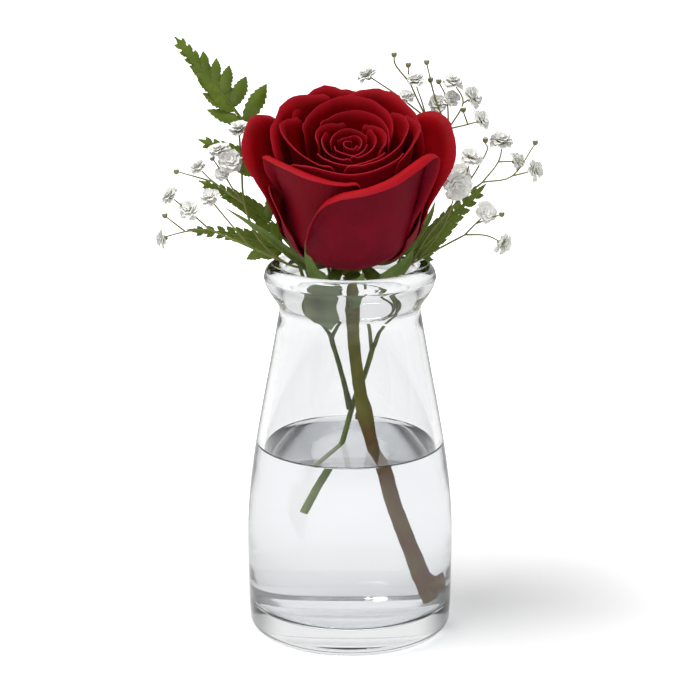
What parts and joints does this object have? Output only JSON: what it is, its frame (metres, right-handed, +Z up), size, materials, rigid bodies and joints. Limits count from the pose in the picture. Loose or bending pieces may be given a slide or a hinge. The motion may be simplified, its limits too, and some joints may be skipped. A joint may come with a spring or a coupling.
{
  "type": "rose in a bud vase",
  "caption": "Cut rose with fern and small white filler flowers, standing in a short clear glass bottle vase with a rolled lip, half full of water.",
  "frame": {"origin": "centre of the vase's foot, on the plane it stands on", "axes": "+Z up through the vase's mouth; the rose faces -Y"},
  "size_m": [0.1346, 0.074, 0.2052],
  "materials": {
    "vase_glass": "clear, gloss",
    "water_clear": "still water",
    "rose_stem": "smooth green bark, woody at the heel",
    "petal_red": "velvety petal",
    "sepal_green": "soft leaf",
    "fern_green": "leathery leaf",
    "blossom_white": "papery small flowers on thin stalks"
  },
  "bodies": {
    "root": {"fern_left_low": "fern_green", "fern_left_middle": "fern_green", "fern_left_tall": "fern_green", "fern_left_upper": "fern_green", "fern_right": "fern_green", "fern_stalk_long": "fern_green", "fern_stalk_short": "fern_green", "leaf_neck": "sepal_green", "petal_01": "petal_red", "petal_02": "petal_red", "petal_03": "petal_red", "petal_04": "petal_red", "petal_05": "petal_red", "petal_06": "petal_red", "petal_07": "petal_red", "petal_08": "petal_red", "petal_09": "petal_red", "petal_10": "petal_red", "petal_11": "petal_red", "petal_12": "petal_red", "petal_13": "petal_red", "petal_14": "petal_red", "petal_15": "petal_red", "petal_16": "petal_red", "petal_17": "petal_red", "petal_18": "petal_red", "petal_19": "petal_red", "petal_20": "petal_red", "petal_21": "petal_red", "petal_22": "petal_red", "petal_23": "petal_red", "petal_24": "petal_red", "petal_25": "petal_red", "petal_26": "petal_red", "petal_27": "petal_red", "rose_stem": "rose_stem", "sepal_1": "sepal_green", "sepal_2": "sepal_green", "sepal_3": "sepal_green", "sepal_4": "sepal_green", "sepal_5": "sepal_green", "spray_left_low": "blossom_white", "spray_left_upper": "blossom_white", "spray_right_low": "blossom_white", "spray_right_middle": "blossom_white", "spray_right_upper": "blossom_white", "vase": "vase_glass", "water": "water_clear"}
  },
  "joints": []
}
